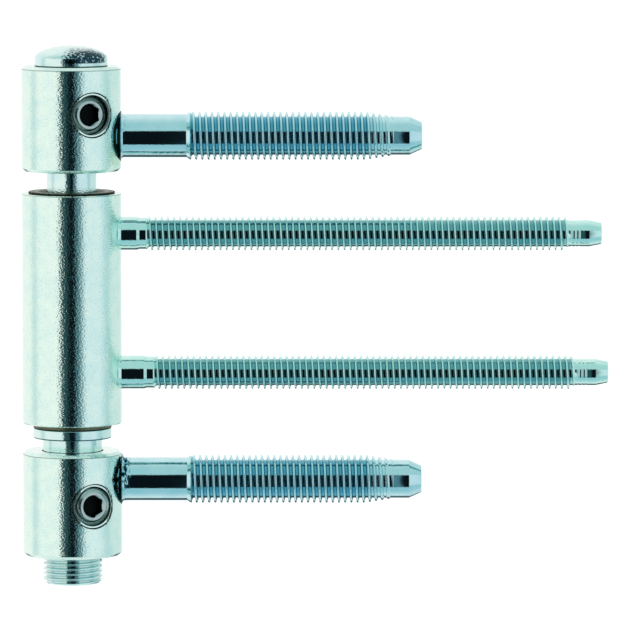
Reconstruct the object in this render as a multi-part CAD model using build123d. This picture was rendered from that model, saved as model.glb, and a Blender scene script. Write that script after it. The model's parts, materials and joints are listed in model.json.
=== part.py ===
from build123d import *
import math
import os

# Three-part drill-in barrel hinge with a height spindle, in millimetres.
# The hinge axis is +Z and every stud points along +X.
# The origin lies on the hinge axis, at the lower end of the height spindle.

# Barrels
barrel_diameter = 20.0
frame_barrel_height = 21.1
frame_barrel_chamfer = 0.6
leaf_barrel_height = 46.5

# Open heights along the hinge axis
spindle_end_reach = 5.8
collar_gap = 2.65
upper_gap = 4.5

# Headed hinge pin, which the spindle's pivot matches
pin_diameter = 10.0
pin_head_diameter = 14.7
pin_head_height = 4.1
pin_head_dome_rise = 1.7
pin_head_edge_radius = 1.4
pin_end_chamfer = 0.8
pin_to_pivot_gap = 6.0

# Bearing bushes and the thrust washer
bush_wall = 0.95
bush_length = 12.0
bush_flange_diameter = 17.7
bush_flange_thickness = 0.6
washer_thickness = 1.0

# Height spindle: threaded stem, collar and pivot
spindle_diameter = 12.0
spindle_end_chamfer = 0.7
collar_diameter = 15.8
collar_thickness = 2.0
pivot_reach = 16.0
spindle_key_flats = 6.0
spindle_key_depth = 6.0
spindle_key_bevel = 0.35

# Frame studs, measured outward from the barrel's wall
frame_stud_root_diameter = 10.2
frame_stud_root_flare = 0.4
frame_stud_shank_diameter = 8.7
frame_stud_shank_length = 13.2
frame_stud_shoulder_length = 0.7
frame_stud_thread_diameter = 9.7
frame_stud_thread_length = 35.4
frame_stud_lead_length = 5.5
frame_stud_lead_end_diameter = 8.1
frame_stud_pilot_diameter = 7.7
frame_stud_pilot_length = 3.2
frame_stud_tip_diameter = 5.4
frame_stud_tip_length = 2.5
upper_frame_stud_rise = 7.05
lower_frame_stud_drop = 5.8

# Leaf studs, measured outward from their inner end
leaf_stud_shank_diameter = 6.65
leaf_stud_shank_length = 6.9
leaf_stud_shoulder_length = 0.6
leaf_stud_neck_diameter = 6.3
leaf_stud_neck_length = 1.3
leaf_stud_thread_diameter = 6.8
leaf_stud_thread_length = 84.4
leaf_stud_run_out = 0.6
leaf_stud_pilot_diameter = 5.3
leaf_stud_pilot_length = 4.2
leaf_stud_tip_diameter = 4.3
leaf_stud_tip_length = 2.5
leaf_stud_pitch = 28.1
lower_leaf_stud_rise = 10.25
lower_leaf_stud_set_out = 1.4

# Clamp screws, which lock the pin and the spindle
clamp_screw_diameter = 8.0
clamp_screw_length = 3.5
clamp_screw_bevel_width = 1.2
clamp_screw_bevel_depth = 0.7
clamp_screw_key_flats = 4.0
clamp_screw_key_depth = 2.2
clamp_screw_key_bevel = 0.35
clamp_face_diameter = 9.2
clamp_face_depth = 0.4
clamp_angle = 28.0
upper_clamp_rise = 11.65
lower_clamp_drop = 10.4

# Clearances
running_clearance = 0.05
clamp_clearance = 0.05
washer_clearance = 0.15
stud_end_clearance = 0.2
cut_overrun = 1.0

# Radii that several pieces share
barrel_radius = barrel_diameter / 2
pin_radius = pin_diameter / 2
bush_bore_radius = pin_radius + running_clearance
bush_outer_radius = bush_bore_radius + bush_wall
spindle_bore_radius = spindle_diameter / 2 + running_clearance
clamp_hole_radius = clamp_screw_diameter / 2 + running_clearance

# Levels along the hinge axis, from the spindle's lower end upward
lower_barrel_bottom = spindle_end_reach
lower_barrel_top = lower_barrel_bottom + frame_barrel_height
collar_bottom = lower_barrel_top + collar_gap
collar_top = collar_bottom + collar_thickness
leaf_barrel_bottom = collar_top + washer_thickness
leaf_barrel_top = leaf_barrel_bottom + leaf_barrel_height
upper_barrel_bottom = leaf_barrel_top + upper_gap
upper_barrel_top = upper_barrel_bottom + frame_barrel_height
pivot_top = leaf_barrel_bottom + pivot_reach
pin_bottom = pivot_top + pin_to_pivot_gap

# Levels of the studs and the clamp screws
upper_frame_stud_level = upper_barrel_bottom + upper_frame_stud_rise
lower_frame_stud_level = lower_barrel_top - lower_frame_stud_drop
lower_leaf_stud_level = leaf_barrel_bottom + lower_leaf_stud_rise
upper_leaf_stud_level = lower_leaf_stud_level + leaf_stud_pitch
upper_clamp_level = upper_barrel_bottom + upper_clamp_rise
lower_clamp_level = lower_barrel_top - lower_clamp_drop
leaf_stud_inner_end = bush_outer_radius + stud_end_clearance


def turned(outline, axis):
    """Turns a closed outline, drawn in the XZ plane, round a main axis."""
    return revolve(Plane.XZ * make_face(outline), axis)


def round_bar(radius, bottom, top):
    """Upright cylinder on the hinge axis between two levels."""
    return extrude(Plane.XY.offset(bottom) * Circle(radius), top - bottom)


def stepped_along_x(stations):
    """Bar along +X from a list of (distance from the hinge axis, radius)."""
    ends = [(stations[0][0], 0.0), *stations, (stations[-1][0], 0.0)]
    return turned(Polyline(*ends, close=True), Axis.X)


def clamp_plane(level):
    """Plane on the hinge axis whose normal points out of a clamp screw's hole."""
    angle = math.radians(clamp_angle)
    outward = (math.sin(angle), -math.cos(angle), 0.0)
    return Plane(origin=(0.0, 0.0, level), x_dir=(0.0, 0.0, 1.0), z_dir=outward)


def hex_socket(flats, depth, bevel):
    """Hexagon socket with a bevelled mouth, sunk below the plane z = 0."""
    corner_radius = flats / math.sqrt(3.0)
    socket = extrude(RegularPolygon(corner_radius, 6), -depth)
    mouth = Cone(
        corner_radius - bevel,
        corner_radius,
        bevel,
        align=(Align.CENTER, Align.CENTER, Align.MAX),
    )
    return socket + mouth


def bevelled_tube(outer_radius, bore_radius, bottom, top):
    """Frame barrel blank: a tube with both outer edges bevelled."""
    inset = outer_radius - frame_barrel_chamfer
    outline = Polyline(
        (bore_radius, bottom),
        (inset, bottom),
        (outer_radius, bottom + frame_barrel_chamfer),
        (outer_radius, top - frame_barrel_chamfer),
        (inset, top),
        (bore_radius, top),
        close=True,
    )
    return turned(outline, Axis.Z)


def clamp_hole(level):
    """Clamp screw's hole from the hinge axis outward, with a flat face cut round its mouth."""
    face_radius = clamp_face_diameter / 2
    face_level = barrel_radius - clamp_face_depth
    outline = Polyline(
        (0, 0),
        (clamp_hole_radius, 0),
        (clamp_hole_radius, face_level),
        (face_radius, face_level),
        (face_radius, barrel_radius + cut_overrun),
        (0, barrel_radius + cut_overrun),
        close=True,
    )
    return clamp_plane(level) * turned(outline, Axis.Z)


def upper_frame_barrel():
    """Barrel that the clamp screw locks on the hinge pin."""
    blank = bevelled_tube(barrel_radius, bush_bore_radius, upper_barrel_bottom, upper_barrel_top)
    return blank - clamp_hole(upper_clamp_level)


def lower_frame_barrel():
    """Barrel whose threaded bore carries the height spindle."""
    blank = bevelled_tube(barrel_radius, spindle_bore_radius, lower_barrel_bottom, lower_barrel_top)
    return blank - clamp_hole(lower_clamp_level)


def leaf_barrel():
    """Middle barrel with a bush seat right through and two stud holes."""
    barrel = round_bar(barrel_radius, leaf_barrel_bottom, leaf_barrel_top)
    barrel -= round_bar(bush_outer_radius, leaf_barrel_bottom, leaf_barrel_top)
    for level in (lower_leaf_stud_level, upper_leaf_stud_level):
        hole = extrude(Circle(leaf_stud_shank_diameter / 2), barrel_radius + cut_overrun)
        barrel -= Plane(origin=(0, 0, level), z_dir=(1, 0, 0)) * hole
    return barrel


def frame_stud(level):
    """Stud welded to a frame barrel: flared root, shank, thread, lead and pilot."""
    root_radius = frame_stud_root_diameter / 2
    shank_radius = frame_stud_shank_diameter / 2
    thread_radius = frame_stud_thread_diameter / 2
    flare_end = barrel_radius + frame_stud_root_flare
    shank_end = barrel_radius + frame_stud_shank_length
    thread_start = shank_end + frame_stud_shoulder_length
    thread_end = thread_start + frame_stud_thread_length
    lead_end = thread_end + frame_stud_lead_length
    pilot_end = lead_end + frame_stud_pilot_length
    stud = stepped_along_x(
        [
            (0.0, root_radius),
            (barrel_radius, root_radius),
            (flare_end, shank_radius),
            (shank_end, shank_radius),
            (thread_start, thread_radius),
            (thread_end, thread_radius),
            (lead_end, frame_stud_lead_end_diameter / 2),
            (lead_end, frame_stud_pilot_diameter / 2),
            (pilot_end, frame_stud_pilot_diameter / 2),
            (pilot_end + frame_stud_tip_length, frame_stud_tip_diameter / 2),
        ]
    )
    saddle = round_bar(barrel_radius, -frame_stud_root_diameter, frame_stud_root_diameter)
    return Pos(0, 0, level) * (stud - saddle)


def leaf_stud(level, set_out):
    """Stud driven into the leaf barrel: shank, shoulder, neck, long thread and pilot."""
    shank_radius = leaf_stud_shank_diameter / 2
    neck_radius = leaf_stud_neck_diameter / 2
    thread_radius = leaf_stud_thread_diameter / 2
    pilot_radius = leaf_stud_pilot_diameter / 2
    inner_end = leaf_stud_inner_end + set_out
    shank_end = inner_end + leaf_stud_shank_length
    neck_start = shank_end + leaf_stud_shoulder_length
    neck_end = neck_start + leaf_stud_neck_length
    thread_end = neck_end + leaf_stud_thread_length
    pilot_start = thread_end + leaf_stud_run_out
    pilot_end = pilot_start + leaf_stud_pilot_length
    stud = stepped_along_x(
        [
            (inner_end, shank_radius),
            (shank_end, shank_radius),
            (neck_start, neck_radius),
            (neck_end, neck_radius),
            (neck_end, thread_radius),
            (thread_end, thread_radius),
            (pilot_start, pilot_radius),
            (pilot_end, pilot_radius),
            (pilot_end + leaf_stud_tip_length, leaf_stud_tip_diameter / 2),
        ]
    )
    return Pos(0, 0, level) * stud


def hinge_pin():
    """Pin with a domed head that rests on the upper barrel."""
    head_radius = pin_head_diameter / 2
    rim_height = pin_head_height - pin_head_dome_rise
    dome_radius = (head_radius**2 + pin_head_dome_rise**2) / (2 * pin_head_dome_rise)
    rim = Polyline((0, 0), (head_radius, 0), (head_radius, rim_height))
    dome = RadiusArc((head_radius, rim_height), (0, pin_head_height), -dome_radius)
    section = make_face([*rim.edges(), dome, Line((0, pin_head_height), (0, 0))])
    rim_corner = section.vertices().filter_by(lambda v: v.X > pin_radius and v.Y > 0)
    section = fillet(rim_corner, min(pin_head_edge_radius, rim_height))
    head = Pos(0, 0, upper_barrel_top) * revolve(Plane.XZ * section, Axis.Z)
    shank = round_bar(pin_radius, pin_bottom, upper_barrel_top)
    shank = chamfer(shank.edges().group_by(Axis.Z)[0], pin_end_chamfer)
    return head + shank


def height_spindle():
    """Turned spindle: key socket, threaded stem, collar and pivot."""
    stem_radius = spindle_diameter / 2
    collar_radius = collar_diameter / 2
    outline = Polyline(
        (0, 0),
        (stem_radius - spindle_end_chamfer, 0),
        (stem_radius, spindle_end_chamfer),
        (stem_radius, collar_bottom),
        (collar_radius, collar_bottom),
        (collar_radius, collar_top),
        (pin_radius, collar_top),
        (pin_radius, pivot_top - pin_end_chamfer),
        (pin_radius - pin_end_chamfer, pivot_top),
        (0, pivot_top),
        close=True,
    )
    socket = hex_socket(spindle_key_flats, spindle_key_depth, spindle_key_bevel)
    key_plane = Plane(origin=(0, 0, 0), x_dir=(1, 0, 0), z_dir=(0, 0, -1))
    return turned(outline, Axis.Z) - key_plane * socket


def thrust_washer():
    """Washer between the spindle's collar and the leaf barrel."""
    ring = round_bar(collar_diameter / 2, collar_top, leaf_barrel_bottom)
    return ring - round_bar(pin_radius + washer_clearance, collar_top, leaf_barrel_bottom)


def lower_bush():
    """Plain bush for the spindle's pivot."""
    top = leaf_barrel_bottom + bush_length
    blank = round_bar(bush_outer_radius, leaf_barrel_bottom, top)
    return blank - round_bar(bush_bore_radius, leaf_barrel_bottom, top)


def upper_bush():
    """Flanged bush for the hinge pin, with its flange on the leaf barrel."""
    bottom = leaf_barrel_top - bush_length
    flange_top = leaf_barrel_top + bush_flange_thickness
    flange = round_bar(bush_flange_diameter / 2, leaf_barrel_top, flange_top)
    sleeve = round_bar(bush_outer_radius, bottom, leaf_barrel_top)
    return flange + sleeve - round_bar(bush_bore_radius, bottom, flange_top)


def clamp_screw(level, seat_radius):
    """Headless screw with a bevelled outer end and a hexagon socket, whose tip stands at a round seat."""
    radius = clamp_screw_diameter / 2
    inner_end = seat_radius + clamp_clearance
    outer_end = inner_end + clamp_screw_length
    outline = Polyline(
        (0, inner_end),
        (radius, inner_end),
        (radius, outer_end - clamp_screw_bevel_depth),
        (radius - clamp_screw_bevel_width, outer_end),
        (0, outer_end),
        close=True,
    )
    socket = hex_socket(clamp_screw_key_flats, clamp_screw_key_depth, clamp_screw_key_bevel)
    return clamp_plane(level) * (turned(outline, Axis.Z) - Pos(0, 0, outer_end) * socket)


pieces = {
    "upper_frame_barrel": upper_frame_barrel(),
    "upper_frame_stud": frame_stud(upper_frame_stud_level),
    "upper_clamp_screw": clamp_screw(upper_clamp_level, pin_radius),
    "hinge_pin": hinge_pin(),
    "upper_bush": upper_bush(),
    "leaf_barrel": leaf_barrel(),
    "upper_leaf_stud": leaf_stud(upper_leaf_stud_level, 0.0),
    "lower_leaf_stud": leaf_stud(lower_leaf_stud_level, lower_leaf_stud_set_out),
    "lower_bush": lower_bush(),
    "thrust_washer": thrust_washer(),
    "height_spindle": height_spindle(),
    "lower_frame_barrel": lower_frame_barrel(),
    "lower_frame_stud": frame_stud(lower_frame_stud_level),
    "lower_clamp_screw": clamp_screw(lower_clamp_level, spindle_diameter / 2),
}

os.makedirs("parts", exist_ok=True)
for name, solid in pieces.items():
    export_step(solid, f"parts/{name}.step")
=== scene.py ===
"""Drill-in barrel hinge: turned barrels, rolled threads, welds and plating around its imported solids.

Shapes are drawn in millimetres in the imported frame, with the hinge axis along +Z and the studs along +X.
They become metres when a piece is made.
"""

import json
import logging
import math
from dataclasses import dataclass, replace
from enum import Enum
from typing import Any, Sequence

import bmesh
import bpy
import numpy as np
from mathutils import Matrix, Vector, noise


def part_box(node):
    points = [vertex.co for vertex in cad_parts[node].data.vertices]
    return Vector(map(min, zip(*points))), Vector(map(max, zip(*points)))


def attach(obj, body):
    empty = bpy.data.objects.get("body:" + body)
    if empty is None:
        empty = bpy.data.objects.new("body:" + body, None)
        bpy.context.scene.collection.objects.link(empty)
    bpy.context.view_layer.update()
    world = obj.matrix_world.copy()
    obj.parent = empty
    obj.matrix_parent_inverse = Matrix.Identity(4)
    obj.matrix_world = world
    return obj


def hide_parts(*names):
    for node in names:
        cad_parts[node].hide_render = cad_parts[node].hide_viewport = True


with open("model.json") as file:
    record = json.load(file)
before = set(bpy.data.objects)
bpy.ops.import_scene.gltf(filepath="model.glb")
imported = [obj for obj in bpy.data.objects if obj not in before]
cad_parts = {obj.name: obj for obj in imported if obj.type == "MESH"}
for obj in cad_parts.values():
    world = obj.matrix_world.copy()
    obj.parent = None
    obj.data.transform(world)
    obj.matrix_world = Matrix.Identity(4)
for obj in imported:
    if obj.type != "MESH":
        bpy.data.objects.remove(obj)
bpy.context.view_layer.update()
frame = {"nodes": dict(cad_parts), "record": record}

log = logging.getLogger("barrel_hinge")

MM = 0.001
FULL_TURN = 2 * math.pi
FOURTH_ROOT = 0.25
NOISE_MIDDLE = 0.5
HEXAGON_SIDES = 6
MERGE_DISTANCE = 2e-8
CLAMP_AZIMUTH = math.radians(28.0)
SHARP_EDGE = math.radians(38.0)
SPOT_FACE_EDGE = math.radians(13.0)
# Point attribute of painted shade: darker colour in grooves, holes and gaps where shade falls, and weld
# scorch at the stud seams.
SHADE_AND_SCORCH_ATTRIBUTE = "shade_and_scorch"
# Levels of that painted value: shade deep in a groove or hole, a painted shade line, and black for shade in
# gaps and lines and for weld scorch.
DEEP_SHADE = 1.0
SHADE_LINE = 1.6
SCORCH_AND_BLACK_SHADE = 2.0
LINE_FADE = 0.1
ARC_ROOM = 0.49

Colour = tuple[float, float, float]
Outline = list[tuple[float, float, float]]
Stations = list[tuple[float, float]]


class Heading(Enum):
    """Ways that a turned piece points: the axis, and where the angle round it starts."""

    UP = ((0.0, 0.0, 1.0), (1.0, 0.0, 0.0))
    ALONG_STUD = ((1.0, 0.0, 0.0), (0.0, 0.0, 1.0))
    OUT_OF_CLAMP = ((math.sin(CLAMP_AZIMUTH), -math.cos(CLAMP_AZIMUTH), 0.0), (0.0, 0.0, 1.0))

    def place(self, level: float = 0.0) -> Matrix:
        """Gives the matrix that sets a turned piece on this heading.

        Args:
            level: Level on the hinge axis, in millimetres, where the piece's own origin goes.

        Returns:
            Matrix from the piece's millimetres to the frame's metres.
        """
        axis, start = (Vector(direction) for direction in self.value)
        turn = Matrix((start, axis.cross(start), axis)).transposed()
        return Matrix.Scale(MM, 4) @ Matrix.Translation((0.0, 0.0, level)) @ turn.to_4x4()


@dataclass(frozen=True)
class Envelope:
    """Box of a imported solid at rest, in millimetres."""

    low: Vector
    high: Vector

    @classmethod
    def of(cls, node: str) -> "Envelope":
        """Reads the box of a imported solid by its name."""
        low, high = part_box(node)
        return cls(low / MM, high / MM)

    @property
    def middle(self) -> Vector:
        """Centre of the box."""
        return (self.low + self.high) / 2


@dataclass(frozen=True)
class Corner:
    """Corner of a turned outline: its distance from the axis, level along it, rounding, and the shade and
    weld scorch painted there.
    """

    radius: float
    level: float
    rounding: float = 0.0
    shade_and_scorch: float = 0.0

    @property
    def spot(self) -> Vector:
        """Place of the corner in the plane of the outline."""
        return Vector((self.radius, self.level))

    def arc(self, before: "Corner", after: "Corner", steps: int) -> Outline:
        """Draws the rounded corner.

        Args:
            before: Corner before this one.
            after: Corner after this one.
            steps: Straight pieces in the arc.

        Returns:
            Points of the arc, led in and out where the neighbours carry less painted shade.
        """
        back = before.spot - self.spot
        ahead = after.spot - self.spot
        half_angle = back.angle(ahead) / 2
        room = min(back.length, ahead.length) * ARC_ROOM
        trim = min(self.rounding / math.tan(half_angle), room)
        bisector = (back.normalized() + ahead.normalized()).normalized()
        middle = self.spot + bisector * trim / math.cos(half_angle)
        first = self.spot + back.normalized() * trim - middle
        last = self.spot + ahead.normalized() * trim - middle
        sweep = first.angle_signed(last)
        points: Outline = []
        for step in range(steps + 1):
            spoke = first.copy()
            spoke.rotate(Matrix.Rotation(-sweep * step / steps, 2))
            points.append((*(middle + spoke), self.shade_and_scorch))
        if before.shade_and_scorch < self.shade_and_scorch:
            points.insert(0, (*(self.spot + back.normalized() * (trim + LINE_FADE)), before.shade_and_scorch))
        if after.shade_and_scorch < self.shade_and_scorch:
            points.append((*(self.spot + ahead.normalized() * (trim + LINE_FADE)), after.shade_and_scorch))
        return points


def rounded(corners: Sequence[Corner], closed: bool = False, steps: int = 4) -> Outline:
    """Draws an outline with its corners rounded.

    Args:
        corners: Corners in order.
        closed: Whether the last corner leads back to the first.
        steps: Straight pieces in each arc.

    Returns:
        Points of the outline as (distance from the axis, level, painted shade and scorch).
    """
    outline: Outline = []
    count = len(corners)
    for index, corner in enumerate(corners):
        is_end = not closed and index in (0, count - 1)
        if is_end or corner.rounding == 0.0:
            outline.append((corner.radius, corner.level, corner.shade_and_scorch))
        else:
            outline += corner.arc(corners[index - 1], corners[(index + 1) % count], steps)
    return outline


@dataclass
class Shape:
    """Points and faces of a piece in millimetres, with the shade and weld scorch painted at each point.

    The painted value goes from 0, open, over 1, painted shade down in a groove or hole, to 2, black:
    painted shade in gaps and along dark lines, and the weld's scorch at a stud seam.
    """

    points: np.ndarray
    faces: np.ndarray
    shade_and_scorch: np.ndarray

    @classmethod
    def rings(cls, radius: np.ndarray, level: np.ndarray, shade_and_scorch: np.ndarray, climb: int = 0) -> "Shape":
        """Makes the surface through rings of points round the local +Z axis.

        Args:
            radius: Distance from the axis of each point, as rows of rings.
            level: Place along the axis of each point.
            shade_and_scorch: Painted shade, and weld scorch, at each point.
            climb: Rings that one turn climbs, on a helix.

        Returns:
            The surface, open at its first and last ring.
        """
        rows, columns = radius.shape
        angle = FULL_TURN * np.arange(columns) / columns
        points = np.stack([radius * np.cos(angle), radius * np.sin(angle), level], axis=-1)
        row, column = np.indices((rows - 1, columns))
        ahead = (column + 1) % columns
        lift = np.where(ahead == 0, climb, 0)
        corners = [
            row * columns + column,
            (row + lift) * columns + ahead,
            (row + lift + 1) * columns + ahead,
            (row + 1) * columns + column,
        ]
        faces = np.stack(corners, axis=-1)[row + lift + 1 < rows]
        return cls(points.reshape(-1, 3), faces, shade_and_scorch.reshape(-1))

    @classmethod
    def turned(cls, corners: Sequence[Corner], columns: int, closed: bool = False) -> "Shape":
        """Turns an outline with rounded corners round the local +Z axis.

        Args:
            corners: Corners of the outline in order.
            columns: Points in each ring.
            closed: Whether the outline is a loop.

        Returns:
            The turned surface.
        """
        outline = rounded(corners, closed)
        track = np.array(outline + outline[:1] if closed else outline)
        radius, level, shade_and_scorch = (np.repeat(track[:, axis, None], columns, axis=1) for axis in range(3))
        return cls.rings(radius, level, shade_and_scorch)

    def joined(self, *others: "Shape") -> "Shape":
        """Joins this surface with others into one.

        Args:
            others: Surfaces to add, in order.

        Returns:
            One surface with all the points and faces.
        """
        shapes = (self, *others)
        starts = np.cumsum([0] + [len(shape.points) for shape in shapes[:-1]])
        return Shape(
            np.concatenate([shape.points for shape in shapes]),
            np.concatenate([shape.faces + start for shape, start in zip(shapes, starts)]),
            np.concatenate([shape.shade_and_scorch for shape in shapes]),
        )

    def made(self, name: str, place: Matrix) -> bpy.types.Object:
        """Makes a closed mesh object of this surface.

        Args:
            name: Name of the object.
            place: Matrix from the shape's millimetres to the frame's metres.

        Returns:
            The object, linked to the scene.
        """
        mesh = bpy.data.meshes.new(name)
        mesh.from_pydata(self.points.tolist(), [], self.faces.tolist())
        # The painted shade and weld scorch go on the mesh as a point attribute.
        attribute = mesh.attributes.new(SHADE_AND_SCORCH_ATTRIBUTE, "FLOAT", "POINT")
        attribute.data.foreach_set("value", self.shade_and_scorch.astype(np.float32))
        mesh.transform(place)
        work = bmesh.new()
        work.from_mesh(mesh)
        bmesh.ops.remove_doubles(work, verts=work.verts, dist=MERGE_DISTANCE)
        bmesh.ops.dissolve_degenerate(work, edges=work.edges, dist=MERGE_DISTANCE)
        bmesh.ops.recalc_face_normals(work, faces=work.faces)
        work.to_mesh(mesh)
        work.free()
        piece = bpy.data.objects.new(name, mesh)
        bpy.context.scene.collection.objects.link(piece)
        return piece


def cut_away(piece: bpy.types.Object, cutters: Sequence[bpy.types.Object]) -> None:
    """Cuts closed meshes out of a piece and removes them.

    Args:
        piece: Object whose mesh is cut.
        cutters: Objects to cut away.
    """
    for cutter in cutters:
        modifier = piece.modifiers.new("cut", "BOOLEAN")
        modifier.operation = "DIFFERENCE"
        modifier.solver = "EXACT"
        modifier.object = cutter
    blank = piece.data
    shaped = piece.evaluated_get(bpy.context.evaluated_depsgraph_get())
    piece.data = bpy.data.meshes.new_from_object(shaped)
    piece.modifiers.clear()
    bpy.data.meshes.remove(blank)
    for cutter in cutters:
        bpy.data.meshes.remove(cutter.data)


def shade_hole(
    piece: bpy.types.Object,
    place: Matrix,
    reach: float,
    bottom: float,
    mouth: float,
    fade: float,
    shade_and_scorch: float = DEEP_SHADE,
) -> None:
    """Paints shade on the points of a piece that lie in a round hole.

    Args:
        piece: Object whose mesh has the hole.
        place: Matrix from the hole's millimetres to the frame's metres.
        reach: Radius of the hole.
        bottom: Level where the hole ends.
        mouth: Level below which the hole is in shade.
        fade: Depth over which the shade grows.
        shade_and_scorch: Painted shade deep in the hole.
    """
    inward = place.inverted()
    values = piece.data.attributes[SHADE_AND_SCORCH_ATTRIBUTE].data
    for point, value in zip(piece.data.vertices, values):
        spot = inward @ point.co
        if math.hypot(spot.x, spot.y) < reach and spot.z > bottom:
            value.value = shade_and_scorch * min(max((mouth - spot.z) / fade, 0.0), 1.0)


@dataclass(frozen=True)
class Thread:
    """Rolled right-hand thread on a shaft, in millimetres.

    crest and floor are stations of (level, radius) along the shaft, which start and end at the same levels.
    """

    pitch: float
    crest: Stations
    floor: Stations
    crest_share: float = 0.28
    floor_share: float = 0.37
    crest_rounding: float = 0.17
    floor_rounding: float = 0.06
    # Sharpness of the shade painted in the thread's floors.
    floor_shade_power: float = 5.0
    arc_steps: int = 3

    @property
    def depth(self) -> float:
        """Height of the full thread."""
        return max(radius for _, radius in self.crest) - min(radius for _, radius in self.floor)

    def section(self) -> Stations:
        """Draws one pitch of the thread.

        Returns:
            Points as (share of the full height, distance along the shaft).
        """
        crest_start = self.pitch * (1 - self.crest_share) / 2
        floor_half = self.pitch * self.floor_share / 2
        corners = [
            Corner(0.0, 0.0),
            Corner(0.0, floor_half, self.floor_rounding),
            Corner(self.depth, crest_start, self.crest_rounding),
            Corner(self.depth, self.pitch - crest_start, self.crest_rounding),
            Corner(0.0, self.pitch - floor_half, self.floor_rounding),
            Corner(0.0, self.pitch),
        ]
        outline = rounded(corners, steps=self.arc_steps)
        return [(height / self.depth, along) for height, along, _ in outline[:-1]]

    def strip(self, columns: int) -> Shape:
        """Winds the thread as one helical surface between its end rings.

        Args:
            columns: Points in each turn.

        Returns:
            The threaded surface, open at both ends.
        """
        start, end = self.crest[0][0], self.crest[-1][0]
        section = np.array(self.section())
        turns = math.ceil((end - start) / self.pitch) + 2
        lift = self.pitch * (np.repeat(np.arange(turns), len(section)) - 1)
        along = start + lift + np.tile(section[:, 1], turns)
        height = np.tile(section[:, 0], turns)[:, None]
        level = np.clip(along[:, None] + self.pitch * np.arange(columns) / columns, start, end)
        crest = np.interp(level, *zip(*self.crest))
        floor = np.interp(level, *zip(*self.floor))
        radius = floor + (crest - floor) * height
        # Painted shade, strongest in the floors of the thread, where the grooves are in shade.
        shade_and_scorch = ((crest - radius) / self.depth) ** self.floor_shade_power
        return Shape.rings(radius, level, shade_and_scorch, climb=len(section))


class Signal:
    """Output of a shader node that takes part in arithmetic."""

    def __init__(self, graph: "Graph", socket: bpy.types.NodeSocket) -> None:
        """Wraps an output socket of a graph's node."""
        self.graph = graph
        self.socket = socket

    def output(self, name: str) -> "Signal":
        """Gives another output of the same node."""
        return Signal(self.graph, self.socket.node.outputs[name])

    def math(self, operation: str, *operands: "Signal | float") -> "Signal":
        """Adds a Math node.

        Args:
            operation: Name of the Math node's operation.
            operands: Values or signals in order.

        Returns:
            The result.
        """
        return self.graph.node("ShaderNodeMath", {"operation": operation}, dict(enumerate(operands)))

    def __add__(self, other: "Signal | float") -> "Signal":
        """Adds a value."""
        return self.math("ADD", self, other)

    def __radd__(self, other: float) -> "Signal":
        """Adds this to a value."""
        return self.math("ADD", other, self)

    def __sub__(self, other: "Signal | float") -> "Signal":
        """Takes a value away."""
        return self.math("SUBTRACT", self, other)

    def __rsub__(self, other: float) -> "Signal":
        """Takes this away from a value."""
        return self.math("SUBTRACT", other, self)

    def __mul__(self, other: "Signal | float") -> "Signal":
        """Multiplies by a value."""
        return self.math("MULTIPLY", self, other)

    def __rmul__(self, other: float) -> "Signal":
        """Multiplies a value by this."""
        return self.math("MULTIPLY", other, self)

    def __neg__(self) -> "Signal":
        """Turns the sign round."""
        return self.math("MULTIPLY", self, -1.0)

    def rising(self, low: float, high: float) -> "Signal":
        """Goes smoothly from 0 to 1 as this goes from low to high.

        Args:
            low: Value where the result is 0.
            high: Value where the result is 1.

        Returns:
            The smooth step.
        """
        settings = {"interpolation_type": "SMOOTHSTEP"}
        sockets = {"Value": self, "From Min": low, "From Max": high}
        return self.graph.node("ShaderNodeMapRange", settings, sockets)

    def between(self, low: float, high: float, softness: float) -> "Signal":
        """Is 1 inside a band and 0 outside it.

        Args:
            low: Lower edge of the band.
            high: Upper edge of the band.
            softness: Width of each edge.

        Returns:
            The soft band.
        """
        half = softness / 2
        return self.rising(low - half, low + half) * (1 - self.rising(high - half, high + half))


class Graph:
    """Node tree of a material or of the world."""

    def __init__(self, tree: bpy.types.NodeTree) -> None:
        """Takes over a node tree and empties it."""
        self.tree = tree
        tree.nodes.clear()

    @classmethod
    def of_material(cls, material: bpy.types.Material) -> "Graph":
        """Starts the node tree of a material."""
        material.use_nodes = True
        return cls(material.node_tree)

    def node(
        self,
        kind: str,
        settings: dict[str, Any] | None = None,
        sockets: dict[str | int, Any] | None = None,
        output: str | int = 0,
    ) -> Signal:
        """Adds a node.

        Args:
            kind: Type of the node.
            settings: Properties of the node, set first.
            sockets: Values or signals by a socket's place, identifier or name.
            output: Output that is wanted.

        Returns:
            That output, or the node's first input where it has no output.
        """
        made = self.tree.nodes.new(kind)
        for name, value in (settings or {}).items():
            setattr(made, name, value)
        inlets = {socket.identifier: socket for socket in made.inputs}
        for key, value in (sockets or {}).items():
            socket = inlets.get(key) or made.inputs[key]
            if isinstance(value, Signal):
                self.tree.links.new(value.socket, socket)
            else:
                socket.default_value = value
        outlets = {socket.identifier: socket for socket in made.outputs}
        if not outlets:
            return Signal(self, made.inputs[0])
        return Signal(self, outlets.get(output) or made.outputs[output])

    def blend(self, first: "Signal | Colour", second: "Signal | Colour", share: Signal | float) -> Signal:
        """Blends two colours.

        Args:
            first: Colour where share is 0.
            second: Colour where share is 1.
            share: Share of the second colour.

        Returns:
            The blended colour.
        """
        sockets: dict[str | int, Any] = {"Factor_Float": share}
        for key, value in (("A_Color", first), ("B_Color", second)):
            sockets[key] = value if isinstance(value, Signal) else (*value, 1.0)
        return self.node("ShaderNodeMix", {"data_type": "RGBA"}, sockets, "Result_Color")

    def speckle(self, place: Signal, size: float, detail: float = 2.0) -> Signal:
        """Adds noise of a real size.

        Args:
            place: Coordinates in metres.
            size: Size of the specks in millimetres.
            detail: Finer layers on top.

        Returns:
            Noise from 0 to 1.
        """
        sockets = {"Vector": place, "Scale": 1 / (size * MM), "Detail": detail}
        return self.node("ShaderNodeTexNoise", {}, sockets)


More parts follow.
